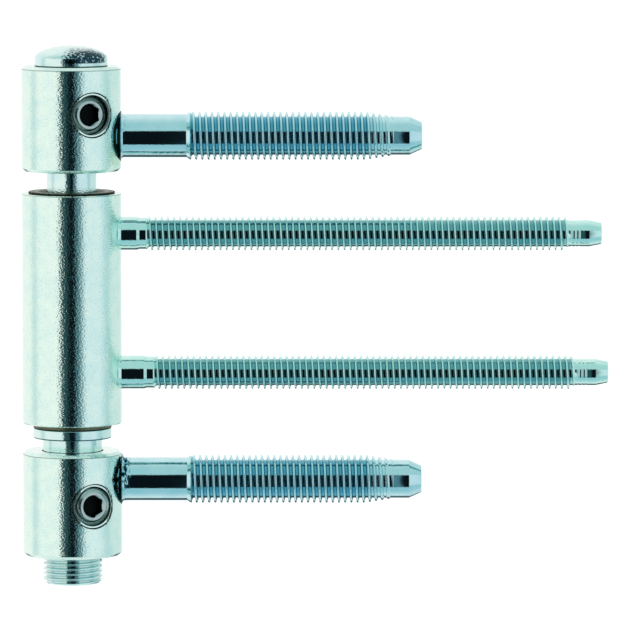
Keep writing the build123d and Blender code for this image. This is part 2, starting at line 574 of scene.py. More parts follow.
@dataclass(frozen=True)
class Stain:
    """Mottled stain on a turned surface.

    Its middle and half sizes are in degrees round the hinge axis and in millimetres along it.
    """

    colour: Colour
    azimuth: float
    azimuth_half: float
    level: float
    level_half: float
    lowest: float = -1000.0
    strength: float = 1.0
    mottle: float = 1.3
    softness: float = 0.25
    speck_start: float = 0.06
    speck_fade: float = 0.1
    speck_strength: float = 0.75

    def mask(self, graph: Graph, place: Signal, ragged: Signal) -> Signal:
        """Works out where the stain lies.

        Args:
            graph: Node tree of the material.
            place: Coordinates in metres.
            ragged: Signal round 0 that mottles the stain.

        Returns:
            Share of the stain's colour.
        """
        spot = graph.node("ShaderNodeSeparateXYZ", {}, {0: place})
        across, away, up = (spot.output(axis) for axis in "XYZ")
        turn = across.math("ARCTAN2", across, -away) * math.degrees(1 / self.azimuth_half)
        turn = turn - self.azimuth / self.azimuth_half
        lift = up * (1 / (MM * self.level_half)) - self.level / self.level_half
        turn, lift = turn * turn, lift * lift
        bulge = across.math("POWER", turn * turn + lift * lift, FOURTH_ROOT)
        reach = bulge + ragged * self.mottle
        specks = ragged.rising(self.speck_start, self.speck_start + self.speck_fade) * self.speck_strength
        inside = (1 - reach.rising(1 - self.softness, 1 + self.softness)) * (1 - specks)
        lowest = self.lowest * MM
        return inside * up.rising(lowest, lowest + self.softness * MM) * self.strength


@dataclass(frozen=True)
class PlatedFinish:
    """Zinc plating with a passivated film: colours, gloss, the grain of the metal under it, painted shade
    in grooves, holes and lines, and weld scorch.
    """

    name: str
    colour: Colour
    film_colour: Colour
    # Colour of the painted shade, also used for the grain's pits.
    shade_and_pit_colour: Colour
    roughness: float
    roughness_spread: float
    grain_size: float
    grain_height: float
    grain_squash: float = 1.8
    grain_detail: float = 1.0
    film_size: float = 2.6
    film_range: tuple[float, float] = (0.35, 0.7)
    shade_strength: float = 0.5
    shade_roughness: float = 0.2
    # Near-black of painted shade in gaps and lines, and of weld scorch.
    scorch_and_shade_colour: Colour = (0.012, 0.022, 0.016)
    stains: tuple[Stain, ...] = ()
    stain_grain: float = 0.45
    pit_strength: float = 0.0
    pit_range: tuple[float, float] = (0.56, 0.72)

    def material(self) -> bpy.types.Material:
        """Builds the material, or gives the one that is already built.

        Returns:
            The material of this finish.
        """
        made = bpy.data.materials.get(self.name)
        if made:
            return made
        made = bpy.data.materials.new(self.name)
        graph = Graph.of_material(made)
        place = graph.node("ShaderNodeTexCoord", output="Object")
        film = graph.speckle(place, self.film_size)
        squash = {0: place, 1: (1.0, 1.0, self.grain_squash)}
        squashed = graph.node("ShaderNodeVectorMath", {"operation": "MULTIPLY"}, squash)
        grain = graph.speckle(squashed, self.grain_size, self.grain_detail)
        # Reads the painted shade and weld scorch from the mesh.
        shade_and_scorch = graph.node("ShaderNodeAttribute", {"attribute_name": SHADE_AND_SCORCH_ATTRIBUTE}, output="Fac")
        clean = graph.blend(self.colour, self.film_colour, film.rising(*self.film_range))
        # Painted shade: the colour darkens where the mesh marks shade.
        with_painted_shade = graph.blend(clean, self.shade_and_pit_colour, shade_and_scorch * self.shade_strength)
        # Black for painted shade in gaps and lines, and for weld scorch.
        colour = graph.blend(with_painted_shade, self.scorch_and_shade_colour, shade_and_scorch.rising(DEEP_SHADE, SCORCH_AND_BLACK_SHADE))
        # Grain pits, the metal's own marks, take the same dark colour as the painted shade.
        pits = grain.rising(*self.pit_range) * self.pit_strength
        colour = graph.blend(colour, self.shade_and_pit_colour, pits)
        mottle = graph.speckle(place, self.stain_grain) - NOISE_MIDDLE
        for stain in self.stains:
            colour = graph.blend(colour, stain.colour, stain.mask(graph, place, mottle))
        roughness = (
            self.roughness
            + (film - NOISE_MIDDLE) * self.roughness_spread
            + (grain - NOISE_MIDDLE) * self.roughness_spread
            + shade_and_scorch * self.shade_roughness
        )
        relief = graph.node("ShaderNodeBump", {}, {"Height": grain, "Distance": self.grain_height * MM})
        surface = graph.node(
            "ShaderNodeBsdfPrincipled",
            {},
            {"Base Color": colour, "Metallic": 1.0, "Roughness": roughness, "Normal": relief},
        )
        graph.node("ShaderNodeOutputMaterial", {}, {"Surface": surface})
        return made


# In each finish the dark shade colour is painted shade for grooves, holes and lines; on the barrel it also
# colours the grain's pits.
BARREL_FINISH = PlatedFinish(
    name="barrel_zinc_satin",
    colour=(0.79, 0.95, 0.855),
    film_colour=(0.71, 0.91, 0.845),
    shade_and_pit_colour=(0.05, 0.07, 0.06),
    roughness=0.08,
    roughness_spread=0.04,
    grain_size=0.42,
    grain_height=0.055,
    pit_strength=0.12,
    stains=(
        Stain(
            (0.36, 0.62, 0.34),
            azimuth=72.0,
            azimuth_half=20.0,
            level=87.5,
            level_half=2.8,
            strength=0.45,
        ),
    ),
)
STUD_FINISH = PlatedFinish(
    name="stud_zinc_bright",
    colour=(0.56, 0.80, 0.82),
    film_colour=(0.50, 0.76, 0.80),
    shade_and_pit_colour=(0.03, 0.31, 0.44),
    roughness=0.07,
    roughness_spread=0.04,
    grain_size=0.25,
    grain_height=0.006,
    shade_strength=0.85,
    shade_roughness=0.0,
)
LEAF_STUD_FINISH = replace(
    STUD_FINISH,
    name="leaf_stud_zinc_bright",
    colour=(0.62, 0.88, 0.81),
    film_colour=(0.55, 0.85, 0.80),
    shade_and_pit_colour=(0.035, 0.28, 0.33),
)
PIN_FINISH = PlatedFinish(
    name="pin_zinc_bright",
    colour=(0.72, 0.89, 0.84),
    film_colour=(0.64, 0.85, 0.83),
    shade_and_pit_colour=(0.10, 0.20, 0.22),
    roughness=0.10,
    roughness_spread=0.04,
    grain_size=0.42,
    grain_height=0.04,
    stains=(
        Stain(
            (0.02, 0.055, 0.075),
            azimuth=31.0,
            azimuth_half=37.0,
            level=105.9,
            level_half=2.15,
            lowest=105.3,
        ),
    ),
)
SPINDLE_FINISH = replace(
    PIN_FINISH,
    name="spindle_zinc_bright",
    shade_and_pit_colour=(0.10, 0.26, 0.28),
    grain_height=0.02,
    shade_strength=0.9,
    shade_roughness=0.0,
    stains=(),
)
SCREW_FINISH = PlatedFinish(
    name="screw_zinc_dark",
    colour=(0.46, 0.55, 0.53),
    film_colour=(0.34, 0.43, 0.42),
    shade_and_pit_colour=(0.006, 0.008, 0.008),
    roughness=0.24,
    roughness_spread=0.12,
    grain_size=0.5,
    grain_height=0.03,
    shade_strength=1.0,
)
BRONZE_FINISH = PlatedFinish(
    name="bearing_bronze_dull",
    colour=(0.66, 0.72, 0.60),
    film_colour=(0.54, 0.60, 0.46),
    shade_and_pit_colour=(0.06, 0.065, 0.028),
    roughness=0.2,
    roughness_spread=0.1,
    grain_size=0.3,
    grain_height=0.008,
    film_size=0.5,
    shade_strength=1.0,
    shade_roughness=0.25,
)


class Register:
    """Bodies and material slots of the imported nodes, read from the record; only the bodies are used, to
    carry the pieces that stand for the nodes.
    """

    def __init__(self, record: dict[str, Any]) -> None:
        """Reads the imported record.

        Args:
            record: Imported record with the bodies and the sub-parts.
        """
        bodies = record["behaviour"]["bodies"]
        self.body = {node: body for body, nodes in bodies.items() for node in nodes}
        self.slot = {part["node"]: part["material_slot"] for part in record["subparts"]}

    def install(
        self, piece: bpy.types.Object, node: str, finish: PlatedFinish, sharp_edge: float = SHARP_EDGE
    ) -> None:
        """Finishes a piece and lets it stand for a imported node.

        Args:
            piece: Object with its final mesh.
            node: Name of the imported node.
            finish: Finish of its surface.
            sharp_edge: Angle from which an edge is shaded as an edge.
        """
        piece.data.shade_smooth()
        piece.data.set_sharp_from_angle(angle=sharp_edge)
        piece.data.materials.clear()
        piece.data.materials.append(finish.material())
        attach(piece, self.body[node])
        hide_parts(node)
        log.info("%s: %d faces, rides on %s", piece.name, len(piece.data.polygons), self.body[node])

    def dress(self, node: str, finish: PlatedFinish) -> None:
        """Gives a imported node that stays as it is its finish.

        Args:
            node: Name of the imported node.
            finish: Finish of its surface.
        """
        solid = frame["nodes"][node]
        solid.data.materials.clear()
        solid.data.materials.append(finish.material())
        log.info("%s: packed solid, %s", node, finish.name)


register = Register(frame["record"])


def shown_name(node: str) -> str:
    """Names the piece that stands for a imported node."""
    return f"{node}.dressed"


@dataclass
class Barrel:
    """Turned barrel with bevelled ends, bored through."""

    node: str
    bore_radius: float
    edge_bevel: float = 0.6
    edge_rounding: float = 0.06
    # Painted shade lines along the top outer edge and round the mouth of the bore.
    edge_shade_line: float = 1.3
    bore_rounding: float = 0.15
    bore_shade_line: float = SCORCH_AND_BLACK_SHADE
    ring_spacing: float = 0.5
    columns: int = 256

    def __post_init__(self) -> None:
        """Reads the barrel's box from the frame."""
        self.box = Envelope.of(self.node)
        self.radius = -self.box.low.x

    def blank(self) -> bpy.types.Object:
        """Turns the barrel without its cross holes.

        Returns:
            The object, with wall rings close enough to keep the shade of a hole near that hole.
        """
        bottom, top = self.box.low.z, self.box.high.z
        inset = self.radius - self.edge_bevel
        wall_start, wall_end = bottom + self.edge_bevel, top - self.edge_bevel
        wall = np.linspace(wall_start, wall_end, round((wall_end - wall_start) / self.ring_spacing) + 1)
        corners = [
            Corner(self.bore_radius, bottom, self.bore_rounding),
            Corner(inset, bottom, self.edge_rounding),
            Corner(self.radius, wall_start, self.edge_rounding),
            *(Corner(self.radius, level) for level in wall[1:-1]),
            # Painted shade lines at the top outer edge and at the top of the bore.
            Corner(self.radius, wall_end, self.edge_rounding, self.edge_shade_line),
            Corner(inset, top, self.edge_rounding),
            Corner(self.bore_radius, top, self.bore_rounding, self.bore_shade_line),
        ]
        shape = Shape.turned(corners, self.columns, closed=True)
        return shape.made(shown_name(self.node), Heading.UP.place())


@dataclass
class ClampHole:
    """Tapped hole of a clamp screw, with a flat face cut round its mouth."""

    level: float
    barrel_radius: float
    hole_radius: float = 4.05
    face_radius: float = 4.6
    face_depth: float = 0.4
    face_edge: float = 0.08
    # Width of the painted black shadow line inside the rim of the flat face.
    outline: float = 0.22
    thread_pitch: float = 1.25
    thread_depth: float = 0.42
    plain_turns: float = 0.3
    overrun: float = 1.2
    step: float = 0.06
    columns: int = 128

    def __post_init__(self) -> None:
        """Works out where the hole sits."""
        self.place = Heading.OUT_OF_CLAMP.place(self.level)
        self.face_level = self.barrel_radius - self.face_depth

    def cutter(self) -> bpy.types.Object:
        """Makes the body that cuts the hole.

        Returns:
            Closed mesh from the hinge axis outward, wound with the thread.
        """
        face_level = self.face_level
        end = self.barrel_radius + self.overrun
        levels = np.append(np.arange(0.0, face_level, self.step), face_level)
        turn = np.arange(self.columns) / self.columns
        phase = np.mod(levels[:, None] / self.thread_pitch - turn, 1.0)
        groove = np.clip(1 - 2 * np.abs(phase - 0.5), 0.0, 1.0)
        below_mouth = np.clip((face_level - levels) / self.thread_pitch - self.plain_turns, 0.0, 1.0)
        tapped = self.hole_radius + self.thread_depth * groove * below_mouth[:, None]
        centre = np.zeros(self.columns)
        rim = np.full(self.columns, self.face_radius)
        # Rings at the face's level hold the painted shadow line round the flat face.
        line = rim - self.outline
        ring = [tapped[-1] + self.face_edge, line - self.face_edge, line, rim]
        radius = np.vstack([centre, tapped, *ring, rim, centre])
        stops = np.concatenate([[0.0], levels, [face_level] * len(ring), [end, end]])
        level = np.repeat(stops[:, None], self.columns, axis=1)
        return Shape.rings(radius, level, np.zeros(level.shape)).made("clamp_hole_cutter", self.place)

    def cut_into(self, barrel: bpy.types.Object) -> None:
        """Cuts the hole into a barrel and paints shade into it: a black line round the flat face and a
        darker colour down the hole.

        Args:
            barrel: Object that gets the hole.
        """
        cut_away(barrel, [self.cutter()])
        reach = self.face_radius + self.face_edge
        hinge_axis = 0.0
        shade_hole(barrel, self.place, reach, hinge_axis, self.face_level + self.step, self.step, SCORCH_AND_BLACK_SHADE)
        inside = self.face_radius - self.outline - self.face_edge / 2
        shade_hole(barrel, self.place, inside, hinge_axis, self.face_level - self.step, self.step)


@dataclass
class FrameStud:
    """Thick stud welded to a frame barrel: seam, flare, shank, rolled thread, lead and pilot."""

    node: str
    barrel_radius: float
    flash: float
    root_radius: float = 5.1
    seam_depth: float = 0.55
    seam_skew: float = 0.25
    # Painted highlight along the middle of the seam.
    glint_strength: float = 0.8
    glint_place: float = 0.5
    glint_width: float = 0.09
    flare_length: float = 0.4
    weld_length: float = 1.9
    lumps_along: float = 1.7
    lumps_round: float = 7.0
    fine_lump_scale: float = 2.3
    fine_lump_height: float = 0.6
    lump_floor: float = -0.25
    lump_dip: float = 0.12
    flash_angle: float = math.radians(40.0)
    flash_rest: float = 0.1
    shank_radius: float = 4.35
    shank_end: float = 23.2
    shoulder_end: float = 23.9
    shoulder_rounding: float = 0.15
    thread_radius: float = 4.85
    thread_floor: float = 3.85
    thread_pitch: float = 1.25
    run_in: float = 0.5
    taper_start: float = 59.3
    thread_end: float = 64.8
    lead_radius: float = 4.05
    pilot_radius: float = 3.85
    pilot_end: float = 68.0
    pilot_rounding: float = 0.35
    tip_radius: float = 2.7
    tip_rounding: float = 0.2
    columns: int = 72
    seam_rows: int = 9
    flare_rows: int = 16

    def __post_init__(self) -> None:
        """Reads the stud's box from the frame."""
        self.box = Envelope.of(self.node)
        self.tip = self.box.high.x

    def root(self) -> Shape:
        """Makes the weld seam on the round of the barrel and the flare that leads to the shank.

        Returns:
            The surface from the stud's axis to the end of the weld.
        """
        angle = FULL_TURN * np.arange(self.columns) / self.columns
        saddle = np.sqrt(self.barrel_radius**2 - (self.root_radius * np.sin(angle)) ** 2)
        width = self.barrel_radius - saddle
        share = np.linspace(0.0, 1.0, self.seam_rows)[:, None]
        wave = FULL_TURN * share
        groove = np.abs(np.sin(wave)) * (1 - self.seam_skew + self.seam_skew * np.cos(wave))
        seam_level = saddle + width * share
        seam_radius = self.root_radius - self.seam_depth * groove * width / width.max()
        reach = np.linspace(0.0, self.weld_length, self.flare_rows)[:, None]
        flare_level = np.broadcast_to(self.barrel_radius + reach, (self.flare_rows, self.columns))
        fall = np.clip(1 - reach / self.flare_length, 0.0, 1.0) ** 2
        flare_radius = self.shank_radius + (self.root_radius - self.shank_radius) * fall
        flare_radius = np.broadcast_to(flare_radius, flare_level.shape)
        centre = np.zeros((1, self.columns))
        level = np.concatenate([centre + self.barrel_radius, seam_level, flare_level[1:]])
        radius = np.concatenate([centre, seam_radius, flare_radius[1:]])
        # Painted glint: the seam is lightened along its middle as a highlight.
        glint = self.glint_strength * np.exp(-(((share - self.glint_place) / self.glint_width) ** 2))
        # The seam is painted black: shade in the gap between the stud's root and the barrel, and weld
        # scorch.
        seam_shade_and_scorch = np.broadcast_to(SCORCH_AND_BLACK_SHADE * (1.0 - glint), seam_radius.shape)
        flare_shade = np.zeros((self.flare_rows - 1, self.columns))
        shade_and_scorch = np.concatenate([centre + SCORCH_AND_BLACK_SHADE, seam_shade_and_scorch, flare_shade])
        lumps = self.weld_lumps(level, radius, angle)
        # Where the weld flash dips, the colour is painted as dark as the seam.
        dip = np.clip(-lumps / self.lump_dip, 0.0, 1.0)
        return Shape.rings(radius + lumps, level, np.maximum(shade_and_scorch, SCORCH_AND_BLACK_SHADE * dip))

    def weld_lumps(self, level: np.ndarray, radius: np.ndarray, angle: np.ndarray) -> np.ndarray:
        """Works out how far the weld's flash stands out.

        Args:
            level: Place of each point along the stud.
            radius: Distance of each point from the stud's axis.
            angle: Angle of each column.

        Returns:
            Heights to add to the radius.
        """
        lumps = np.zeros(level.shape)
        for row, column in np.ndindex(level.shape):
            along = level[row, column] * self.lumps_along
            turn = angle[column]
            spot = Vector((along, math.cos(turn) * self.lumps_round, math.sin(turn) * self.lumps_round))
            fine = self.fine_lump_height * noise.noise(spot * self.fine_lump_scale)
            lumps[row, column] = max(noise.noise(spot) + fine, self.lump_floor)
        on_front_top = np.clip(np.cos(angle - self.flash_angle), 0.0, 1.0) ** 2
        near_seam = np.clip(1.0 - (level - self.barrel_radius) / self.weld_length, 0.0, 1.0)
        return lumps * self.flash * (self.flash_rest + on_front_top) * near_seam * (radius > 0)

    def thread(self) -> Thread:
        """Describes the rolled thread from the shoulder to the end of the lead.

        Returns:
            The thread, with its crest falling to the pilot.
        """
        crest = [
            (self.shoulder_end, self.thread_radius),
            (self.taper_start, self.thread_radius),
            (self.thread_end - self.thread_pitch / 2, self.lead_radius),
            (self.thread_end, self.pilot_radius),
        ]
        floor = [
            (self.shoulder_end, self.thread_radius),
            (self.shoulder_end + self.run_in, self.thread_floor),
            (self.thread_end, self.pilot_radius),
        ]
        return Thread(self.thread_pitch, crest, floor)

    def build(self) -> None:
        """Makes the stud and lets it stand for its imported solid."""
        weld_end = self.barrel_radius + self.weld_length
        shank = [
            Corner(self.shank_radius, weld_end),
            Corner(self.shank_radius, self.shank_end, self.shoulder_rounding),
            Corner(self.thread_radius, self.shoulder_end),
        ]
        tip = [
            Corner(self.pilot_radius, self.thread_end),
            Corner(self.pilot_radius, self.pilot_end, self.pilot_rounding),
            Corner(self.tip_radius, self.tip, self.tip_rounding),
            Corner(0.0, self.tip),
        ]
        shape = self.root().joined(
            Shape.turned(shank, self.columns),
            self.thread().strip(self.columns),
            Shape.turned(tip, self.columns),
        )
        piece = shape.made(shown_name(self.node), Heading.ALONG_STUD.place(self.box.middle.z))
        register.install(piece, self.node, STUD_FINISH)


@dataclass
class LeafStud:
    """Long thin stud in the leaf barrel: shank, shoulder, neck, rolled thread and grooved pilot."""

    node: str
    barrel_radius: float
    end_rounding: float = 0.2
    flare_height: float = 0.32
    flare_length: float = 0.62
    flare_rounding: float = 0.1
    shank_radius: float = 3.325
    shank_length: float = 6.9
    shoulder_length: float = 0.6
    shoulder_rounding: float = 0.12
    neck_radius: float = 3.15
    neck_length: float = 1.3
    neck_margin: float = 0.1
    thread_radius: float = 3.4
    thread_floor: float = 2.66
    thread_pitch: float = 1.25
    thread_length: float = 84.4
    crest_share: float = 0.22
    floor_share: float = 0.48
    crest_run_in: float = 0.4
    floor_run_in: float = 0.8
    crest_run_out: float = 0.3
    run_out: float = 0.6
    pilot_radius: float = 2.65
    pilot_length: float = 4.2
    pilot_rounding: float = 0.4
    grooves: int = 3
    groove_pitch: float = 0.75
    groove_half_share: float = 0.3
    groove_depth: float = 0.09
    groove_rounding: float = 0.2
    tip_radius: float = 2.15
    tip_rounding: float = 0.25
    columns: int = 56

    def __post_init__(self) -> None:
        """Reads the stud's box from the frame."""
        self.box = Envelope.of(self.node)
        self.inner_end = self.box.low.x
        self.tip = self.box.high.x
        self.shank_end = self.inner_end + self.shank_length
        self.thread_start = self.shank_end + self.shoulder_length + self.neck_length
        self.thread_end = self.thread_start + self.thread_length
        self.pilot_start = self.thread_end + self.run_out
        self.pilot_end = self.pilot_start + self.pilot_length

    def thread(self) -> Thread:
        """Describes the rolled thread from the neck to the pilot.

        Returns:
            The thread, running in from the neck and out to the pilot.
        """
        crest = [
            (self.thread_start, self.neck_radius),
            (self.thread_start + self.crest_run_in, self.thread_radius),
            (self.thread_end - self.crest_run_out, self.thread_radius),
            (self.pilot_start, self.pilot_radius),
        ]
        floor = [
            (self.thread_start, self.neck_radius),
            (self.thread_start + self.floor_run_in, self.thread_floor),
            (self.thread_end, self.thread_floor),
            (self.pilot_start, self.pilot_radius),
        ]
        return Thread(self.thread_pitch, crest, floor, self.crest_share, self.floor_share)

    def grooved_pilot(self) -> list[Corner]:
        """Draws the pilot with the faint grooves that the rolling dies leave on it.

        Returns:
            Corners from the end of the thread to behind the last groove.
        """
        corners = [Corner(self.pilot_radius, self.pilot_start)]
        half = self.groove_pitch * self.groove_half_share
        for turn in range(self.grooves):
            middle = self.pilot_start + self.groove_pitch * (turn + 1)
            corners += [
                Corner(self.pilot_radius, middle - half),
                Corner(self.pilot_radius - self.groove_depth, middle, self.groove_rounding),
                Corner(self.pilot_radius, middle + half),
            ]
        return corners

    def build(self) -> None:
        """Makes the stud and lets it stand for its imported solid."""
        flare_start = self.barrel_radius - self.flare_length
        neck_start = self.shank_end + self.shoulder_length
        front = [
            Corner(0.0, self.inner_end),
            Corner(self.shank_radius, self.inner_end, self.end_rounding),
            Corner(self.shank_radius, flare_start - self.flare_length),
            Corner(self.shank_radius + self.flare_height, flare_start),
            Corner(self.shank_radius, self.barrel_radius, self.flare_rounding),
            Corner(self.shank_radius, self.shank_end, self.shoulder_rounding),
            Corner(self.neck_radius, neck_start, self.shoulder_rounding),
            Corner(self.neck_radius, self.thread_start - self.neck_margin),
            Corner(self.neck_radius, self.thread_start),
        ]
        end = [
            *self.grooved_pilot(),
            Corner(self.pilot_radius, self.pilot_end, self.pilot_rounding),
            Corner(self.tip_radius, self.tip, self.tip_rounding),
            Corner(0.0, self.tip),
        ]
        shape = Shape.turned(front, self.columns).joined(
            self.thread().strip(self.columns),
            Shape.turned(end, self.columns),
        )
        piece = shape.made(shown_name(self.node), Heading.ALONG_STUD.place(self.box.middle.z))
        register.install(piece, self.node, LEAF_STUD_FINISH)


@dataclass
class KeySocket:
    """Hexagon socket with a bevelled mouth and a drilled bottom."""

    flats: float
    depth: float
    bevel: float
    bevel_start: float = 0.05
    bevel_rows: int = 6
    drill_depth: float = 0.7
    shade_depth: float = 0.1
    overrun: float = 0.6
    columns: int = 96

    @property
    def corner_radius(self) -> float:
        """Distance from the axis to a corner of the hexagon."""
        return self.flats / math.sqrt(3.0)

    def cutter(self, place: Matrix) -> bpy.types.Object:
        """Makes the body that cuts the socket below the local plane z = 0.

        Args:
            place: Matrix from the socket's millimetres to the frame's metres.

        Returns:
            Closed mesh of the socket.
        """
        angle = FULL_TURN * np.arange(self.columns) / self.columns
        side = FULL_TURN / HEXAGON_SIDES
        hexagon = self.flats / 2 / np.cos(np.mod(angle, side) - side / 2)
        bevel = np.linspace(self.bevel_start, self.bevel, self.bevel_rows)
        depths = [-self.overrun, 0.0, *bevel, self.bevel + self.shade_depth, self.depth]
        radius = np.stack([np.maximum(hexagon, self.corner_radius - max(depth, 0.0)) for depth in depths])
        radius = np.concatenate([np.zeros((1, self.columns)), radius, np.zeros((1, self.columns))])
        levels = [self.overrun, *(-depth for depth in depths), -self.depth - self.drill_depth]
        level = np.repeat(np.array(levels)[:, None], self.columns, axis=1)
        return Shape.rings(radius, level, np.zeros(level.shape)).made("key_socket_cutter", place)

    def cut_into(self, piece: bpy.types.Object, place: Matrix) -> None:
        """Cuts the socket into a piece and paints its inside dark as shade.

        Args:
            piece: Object that gets the socket.
            place: Matrix from the socket's millimetres to the frame's metres.
        """
        cut_away(piece, [self.cutter(place)])
        reach = self.corner_radius + self.shade_depth
        bottom = -self.depth - self.drill_depth - self.shade_depth
        shade_hole(piece, place, reach, bottom, -self.bevel, self.shade_depth)


@dataclass
class ClampScrew:
    """Headless screw with a hexagon socket that locks the pin or the spindle."""

    node: str
    seat_radius: float
    radius: float = 4.0
    thread_floor: float = 3.4
    thread_pitch: float = 1.25
    length: float = 3.5
    end_lip: float = 0.05
    run_in: float = 0.6
    bevel_width: float = 1.2
    bevel_depth: float = 0.7
    face_lip: float = 0.08
    face_rounding: float = 0.04
    key_flats: float = 4.0
    key_depth: float = 2.2
    key_bevel: float = 0.35
    columns: int = 96

    def __post_init__(self) -> None:
        """Reads the screw's level from the frame."""
        self.level = Envelope.of(self.node).middle.z

    def build(self) -> None:
        """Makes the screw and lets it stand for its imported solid."""
        inner, outer = self.seat_radius, self.seat_radius + self.length
        thread_start, thread_end = inner + self.end_lip, outer - self.end_lip
        run_in_end, bevel_start = inner + self.run_in, outer - self.bevel_depth
        tip_radius = self.thread_floor + self.end_lip
        face_radius = self.radius - self.bevel_width
        lip_radius = face_radius + self.face_lip
        point = [
            Corner(0.0, inner),
            Corner(self.thread_floor, inner),
            Corner(tip_radius, thread_start),
        ]
        head = [
            Corner(lip_radius, thread_end),
            Corner(face_radius, outer, self.face_rounding),
            Corner(0.0, outer),
        ]
        crest, floor = (
            [
                (thread_start, tip_radius),
                (run_in_end, radius),
                (bevel_start, radius),
                (thread_end, lip_radius),
            ]
            for radius in (self.radius, self.thread_floor)
        )
        shape = Shape.turned(point, self.columns).joined(
            Thread(self.thread_pitch, crest, floor).strip(self.columns),
            Shape.turned(head, self.columns),
        )
        place = Heading.OUT_OF_CLAMP.place(self.level)
        piece = shape.made(shown_name(self.node), place)
        socket = KeySocket(self.key_flats, self.key_depth, self.key_bevel)
        socket.cut_into(piece, place @ Matrix.Translation((0.0, 0.0, outer)))
        register.install(piece, self.node, SCREW_FINISH)


@dataclass
class FrameSide:
    """Frame barrels with their studs and clamp holes, and the headed pin."""

    pin_radius: float = 5.0
    pin_bore: float = 5.05
    spindle_bore: float = 6.05
    upper_flash: float = 0.12
    lower_flash: float = 1.0
    head_radius: float = 7.35
    head_rounding: float = 0.15
    dome_height: float = 2.6
    dome_steps: int = 24
    pin_bevel: float = 0.8
    columns: int = 192

    def build_barrel(self, node: str, bore: float, screw_node: str) -> None:
        """Makes a frame barrel with its clamp hole.

        Args:
            node: Packed barrel.
            bore: Radius of its bore.
            screw_node: Packed clamp screw, which gives the hole's level.
        """
        barrel = Barrel(node, bore)
        piece = barrel.blank()
        ClampHole(Envelope.of(screw_node).middle.z, barrel.radius).cut_into(piece)
        register.install(piece, node, BARREL_FINISH, SPOT_FACE_EDGE)

    def build_pin(self) -> None:
        """Makes the pin with its domed head."""
        node = "hinge_pin"
        box = Envelope.of(node)
        seat = Envelope.of("upper_frame_barrel").high.z
        bottom, top = box.low.z, box.high.z
        swing = [math.pi / 2 * step / self.dome_steps for step in range(self.dome_steps + 1)]
        rim = top - self.dome_height
        dome = [
            Corner(self.head_radius * math.cos(turn), rim + self.dome_height * math.sin(turn))
            for turn in swing
        ]
        corners = [
            Corner(0.0, bottom),
            Corner(self.pin_radius - self.pin_bevel, bottom),
            Corner(self.pin_radius, bottom + self.pin_bevel),
            Corner(self.pin_radius, seat),
            # Painted shade line where the head sits on the barrel.
            Corner(self.head_radius, seat, self.head_rounding, SHADE_LINE),
            *dome,
        ]
        shape = Shape.turned(corners, self.columns)
        register.install(shape.made(shown_name(node), Heading.UP.place()), node, PIN_FINISH)

    def build(self) -> None:
        """Makes the whole frame side."""
        self.build_barrel("upper_frame_barrel", self.pin_bore, "upper_clamp_screw")
        self.build_barrel("lower_frame_barrel", self.spindle_bore, "lower_clamp_screw")
        radius = -Envelope.of("upper_frame_barrel").low.x
        FrameStud("upper_frame_stud", radius, self.upper_flash).build()
        FrameStud("lower_frame_stud", radius, self.lower_flash).build()
        self.build_pin()
        ClampScrew("upper_clamp_screw", self.pin_bore).build()
        ClampScrew("lower_clamp_screw", self.spindle_bore).build()


@dataclass
class LeafSide:
    """Leaf barrel with its two studs and its bushes.

    flange_shades are pairs of (distance in from the flange's rim, painted shade there).
    """

    bush_seat: float = 6.0
    bush_bore: float = 5.05
    flange_radius: float = 8.7
    flange_thickness: float = 0.34
    flange_rounding: float = 0.1
    flange_shades: tuple[tuple[float, float], ...] = ((0.9, 0.9), (1.6, 0.7), (2.4, 1.2))
    edge_bevel: float = 0.18
    # Painted shade line at the barrel's top outer edge.
    edge_shade_line: float = 1.1
    stud_clearance: float = 0.03
    hole_overrun: float = 1.0
    columns: int = 192

    def build_barrel(self) -> None:
        """Makes the leaf barrel with its stud holes."""
        node = "leaf_barrel"
        barrel = Barrel(node, self.bush_seat, self.edge_bevel, edge_shade_line=self.edge_shade_line)
        piece = barrel.blank()
        cutters = []
        reach = LeafStud.shank_radius + self.stud_clearance
        outside = barrel.radius + self.hole_overrun
        outline = [(0.0, 0.0), (reach, 0.0), (reach, outside), (0.0, outside)]
        # Painted shade inside the stud holes.
        hole = [Corner(radius, level, shade_and_scorch=DEEP_SHADE) for radius, level in outline]
        for stud in ("upper_leaf_stud", "lower_leaf_stud"):
            place = Heading.ALONG_STUD.place(Envelope.of(stud).middle.z)
            cutters.append(Shape.turned(hole, self.columns).made("stud_hole_cutter", place))
        cut_away(piece, cutters)
        register.install(piece, node, BARREL_FINISH)

    def build_bush(self) -> None:
        """Makes the flanged upper bush and dresses the hidden lower one."""
        node = "upper_bush"
        box = Envelope.of(node)
        seat = Envelope.of("leaf_barrel").high.z
        top = seat + self.flange_thickness
        corners = [
            Corner(self.bush_bore, box.low.z),
            Corner(self.bush_seat, box.low.z),
            Corner(self.bush_seat, seat),
            # The flange is painted as shade: black at its rim and bore edges, darker at mid-side and in
            # bands across its top.
            Corner(self.flange_radius, seat, self.flange_rounding, SCORCH_AND_BLACK_SHADE),
            Corner(self.flange_radius, seat + self.flange_thickness / 2, shade_and_scorch=DEEP_SHADE),
            Corner(self.flange_radius, top, self.flange_rounding, SCORCH_AND_BLACK_SHADE),
            *(
                Corner(self.flange_radius - inset, top, shade_and_scorch=shade)
                for inset, shade in self.flange_shades
            ),
            Corner(self.bush_bore, top, self.flange_rounding, SCORCH_AND_BLACK_SHADE),
        ]
        shape = Shape.turned(corners, self.columns, closed=True)
        register.install(shape.made(shown_name(node), Heading.UP.place()), node, BRONZE_FINISH)
        register.dress("lower_bush", BRONZE_FINISH)

    def build(self) -> None:
        """Makes the whole leaf side."""
        self.build_barrel()
        self.build_bush()
        radius = -Envelope.of("leaf_barrel").low.x
        for stud in ("upper_leaf_stud", "lower_leaf_stud"):
            LeafStud(stud, radius).build()


